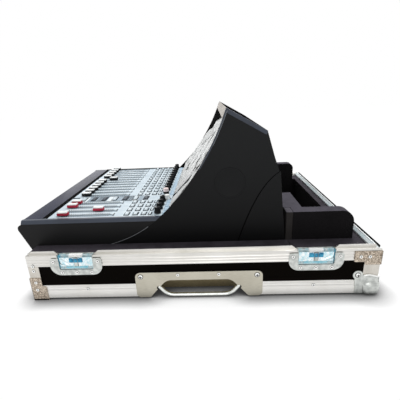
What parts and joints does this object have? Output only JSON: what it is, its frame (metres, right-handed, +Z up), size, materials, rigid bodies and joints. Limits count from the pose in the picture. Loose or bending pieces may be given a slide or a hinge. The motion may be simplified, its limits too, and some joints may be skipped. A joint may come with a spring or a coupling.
{
  "type": "lighting control desk",
  "caption": "Compact control desk with a swept-back touchscreen wall, faders and keys, in the open-front base tray of its flight case with foam blocks, twist latches and a pull-out handle.",
  "frame": {"origin": "on the ground, under the middle of the box that holds the desk and its tray", "axes": "+X is the operator's right, +Y runs from the operator to the back, +Z up"},
  "size_m": [0.602, 0.74, 0.3646],
  "materials": {
    "black_moulding": "fine textured",
    "palm_moulding": "satin",
    "panel_lacquer": "satin",
    "hood_moulding": "satin",
    "screen_glass": "film covered",
    "steel_sheet": "powder coated",
    "zinc_shell": "die cast",
    "rubber_foot": "matte",
    "circuit_board": "solder mask",
    "galvanised": "galvanised",
    "fader_white": "moulded",
    "knob_black": "moulded",
    "key_rubber": "translucent",
    "laminated_ply": "phenolic laminate",
    "aluminium_profile": "mill anodised",
    "bright_zinc": "bright zinc",
    "stainless": "brushed",
    "foam": "closed-cell foam",
    "tyre_rubber": "matte"
  },
  "bodies": {
    "desk_in_tray": {"cheek_right": "black_moulding", "cheek_left": "black_moulding", "palm_rest": "palm_moulding", "control_panel": "panel_lacquer", "display_housing": "black_moulding", "main_touchscreen": "screen_glass", "utility_screen": "screen_glass", "hood": "hood_moulding", "rear_panel": "steel_sheet", "xlr_sockets": "zinc_shell", "base_pan": "steel_sheet", "desk_feet": "rubber_foot", "main_board": "circuit_board", "power_supply": "galvanised", "fader_tracks": "galvanised", "tray_floor": "laminated_ply", "tray_walls": "laminated_ply", "lid_rails": "aluminium_profile", "edge_angles": "aluminium_profile", "ball_corners": "bright_zinc", "corner_braces": "galvanised", "latch_dishes": "bright_zinc", "handle_plate": "stainless", "handle_housing": "galvanised", "wheel_wells": "galvanised", "foam_lining": "foam", "foam_blocks": "foam", "fasteners": "bright_zinc"},
    "encoder_row": {"encoder_row": "knob_black"},
    "keys_select": {"keys_select": "key_rubber"},
    "keys_cue": {"keys_cue": "key_rubber"},
    "keys_on": {"keys_on": "key_rubber"},
    "keys_bank": {"keys_bank": "key_rubber"},
    "pull_handle": {"pull_handle": "bright_zinc"},
    "wheel_front": {"wheel_front": "tyre_rubber"},
    "wheel_rear": {"wheel_rear": "tyre_rubber"},
    "fader_cap_01": {"fader_cap_01": "fader_white"},
    "fader_cap_02": {"fader_cap_02": "fader_white"},
    "fader_cap_03": {"fader_cap_03": "fader_white"},
    "fader_cap_04": {"fader_cap_04": "fader_white"},
    "fader_cap_05": {"fader_cap_05": "fader_white"},
    "fader_cap_06": {"fader_cap_06": "fader_white"},
    "fader_cap_07": {"fader_cap_07": "fader_white"},
    "fader_cap_08": {"fader_cap_08": "fader_white"},
    "fader_cap_09": {"fader_cap_09": "fader_white"},
    "fader_cap_10": {"fader_cap_10": "fader_white"},
    "fader_cap_11": {"fader_cap_11": "fader_white"},
    "fader_cap_12": {"fader_cap_12": "fader_white"},
    "fader_cap_13": {"fader_cap_13": "fader_white"},
    "fader_cap_14": {"fader_cap_14": "fader_white"},
    "fader_cap_15": {"fader_cap_15": "fader_white"},
    "fader_cap_16": {"fader_cap_16": "fader_white"},
    "encoder_knob_1": {"encoder_knob_1": "knob_black"},
    "encoder_knob_2": {"encoder_knob_2": "knob_black"},
    "encoder_knob_3": {"encoder_knob_3": "knob_black"},
    "encoder_knob_4": {"encoder_knob_4": "knob_black"},
    "latch_wing_front_a": {"latch_wing_front_a": "bright_zinc"},
    "latch_wing_front_b": {"latch_wing_front_b": "bright_zinc"},
    "latch_wing_rear_a": {"latch_wing_rear_a": "bright_zinc"},
    "latch_wing_rear_b": {"latch_wing_rear_b": "bright_zinc"}
  },
  "joints": [
    {"name": "fader_01_slide", "type": "slide", "parent": "desk_in_tray", "child": "fader_cap_01", "axis": [0, 1, 0], "range_m": [0, 0.1]},
    {"name": "fader_02_slide", "type": "slide", "parent": "desk_in_tray", "child": "fader_cap_02", "axis": [0, 1, 0], "range_m": [0, 0.1]},
    {"name": "fader_03_slide", "type": "slide", "parent": "desk_in_tray", "child": "fader_cap_03", "axis": [0, 1, 0], "range_m": [0, 0.1]},
    {"name": "fader_04_slide", "type": "slide", "parent": "desk_in_tray", "child": "fader_cap_04", "axis": [0, 1, 0], "range_m": [0, 0.1]},
    {"name": "fader_05_slide", "type": "slide", "parent": "desk_in_tray", "child": "fader_cap_05", "axis": [0, 1, 0], "range_m": [0, 0.1]},
    {"name": "fader_06_slide", "type": "slide", "parent": "desk_in_tray", "child": "fader_cap_06", "axis": [0, 1, 0], "range_m": [-0.026, 0.074]},
    {"name": "fader_07_slide", "type": "slide", "parent": "desk_in_tray", "child": "fader_cap_07", "axis": [0, 1, 0], "range_m": [0, 0.1]},
    {"name": "fader_08_slide", "type": "slide", "parent": "desk_in_tray", "child": "fader_cap_08", "axis": [0, 1, 0], "range_m": [0, 0.1]},
    {"name": "fader_09_slide", "type": "slide", "parent": "desk_in_tray", "child": "fader_cap_09", "axis": [0, 1, 0], "range_m": [0, 0.1]},
    {"name": "fader_10_slide", "type": "slide", "parent": "desk_in_tray", "child": "fader_cap_10", "axis": [0, 1, 0], "range_m": [0, 0.1]},
    {"name": "fader_11_slide", "type": "slide", "parent": "desk_in_tray", "child": "fader_cap_11", "axis": [0, 1, 0], "range_m": [0, 0.1]},
    {"name": "fader_12_slide", "type": "slide", "parent": "desk_in_tray", "child": "fader_cap_12", "axis": [0, 1, 0], "range_m": [0, 0.1]},
    {"name": "fader_13_slide", "type": "slide", "parent": "desk_in_tray", "child": "fader_cap_13", "axis": [0, 1, 0], "range_m": [0, 0.1]},
    {"name": "fader_14_slide", "type": "slide", "parent": "desk_in_tray", "child": "fader_cap_14", "axis": [0, 1, 0], "range_m": [0, 0.1]},
    {"name": "fader_15_slide", "type": "slide", "parent": "desk_in_tray", "child": "fader_cap_15", "axis": [0, 1, 0], "range_m": [-0.07, 0.03]},
    {"name": "fader_16_slide", "type": "slide", "parent": "desk_in_tray", "child": "fader_cap_16", "axis": [0, 1, 0], "range_m": [0, 0.1]},
    {"name": "encoder_row_press", "type": "slide", "parent": "desk_in_tray", "child": "encoder_row", "axis": [0, 0, -1], "range_m": [0, 0.001], "stiffness_N_per_m": 900},
    {"name": "select_keys_press", "type": "slide", "parent": "desk_in_tray", "child": "keys_select", "axis": [0, 0, -1], "range_m": [0, 0.001], "stiffness_N_per_m": 900},
    {"name": "cue_keys_press", "type": "slide", "parent": "desk_in_tray", "child": "keys_cue", "axis": [0, 0, -1], "range_m": [0, 0.001], "stiffness_N_per_m": 900},
    {"name": "on_keys_press", "type": "slide", "parent": "desk_in_tray", "child": "keys_on", "axis": [0, 0, -1], "range_m": [0, 0.001], "stiffness_N_per_m": 900},
    {"name": "bank_keys_press", "type": "slide", "parent": "desk_in_tray", "child": "keys_bank", "axis": [0, 0, -1], "range_m": [0, 0.001], "stiffness_N_per_m": 900},
    {"name": "encoder_1_turn", "type": "hinge", "parent": "desk_in_tray", "child": "encoder_knob_1", "pos_m": [0.1316, -0.072, 0.152], "axis": [0, 0, 1], "continuous": true},
    {"name": "encoder_2_turn", "type": "hinge", "parent": "desk_in_tray", "child": "encoder_knob_2", "pos_m": [0.157, -0.072, 0.152], "axis": [0, 0, 1], "continuous": true},
    {"name": "encoder_3_turn", "type": "hinge", "parent": "desk_in_tray", "child": "encoder_knob_3", "pos_m": [0.1824, -0.072, 0.152], "axis": [0, 0, 1], "continuous": true},
    {"name": "encoder_4_turn", "type": "hinge", "parent": "desk_in_tray", "child": "encoder_knob_4", "pos_m": [0.2078, -0.072, 0.152], "axis": [0, 0, 1], "continuous": true},
    {"name": "latch_front_wing_a_fold", "type": "hinge", "parent": "desk_in_tray", "child": "latch_wing_front_a", "pos_m": [0.2918, -0.2327, 0.0865], "axis": [0, 0, 1], "range_deg": [0, 90]},
    {"name": "latch_front_wing_b_fold", "type": "hinge", "parent": "desk_in_tray", "child": "latch_wing_front_b", "pos_m": [0.2918, -0.2213, 0.0865], "axis": [0, 0, -1], "range_deg": [0, 90]},
    {"name": "latch_rear_wing_a_fold", "type": "hinge", "parent": "desk_in_tray", "child": "latch_wing_rear_a", "pos_m": [0.2918, 0.2358, 0.0865], "axis": [0, 0, 1], "range_deg": [0, 90]},
    {"name": "latch_rear_wing_b_fold", "type": "hinge", "parent": "desk_in_tray", "child": "latch_wing_rear_b", "pos_m": [0.2918, 0.2472, 0.0865], "axis": [0, 0, -1], "range_deg": [0, 90]},
    {"name": "handle_pull", "type": "slide", "parent": "desk_in_tray", "child": "pull_handle", "axis": [1, 0, 0], "range_m": [0, 0.35]},
    {"name": "wheel_front_roll", "type": "hinge", "parent": "desk_in_tray", "child": "wheel_front", "pos_m": [-0.2755, -0.202, 0.026], "axis": [0, 1, 0], "continuous": true},
    {"name": "wheel_rear_roll", "type": "hinge", "parent": "desk_in_tray", "child": "wheel_rear", "pos_m": [-0.2755, 0.238, 0.026], "axis": [0, 1, 0], "continuous": true}
  ],
  "couplings": [
    {"joint": "latch_front_wing_b_fold", "follows": "latch_front_wing_a_fold", "ratio": 1},
    {"joint": "latch_rear_wing_b_fold", "follows": "latch_rear_wing_a_fold", "ratio": 1}
  ]
}
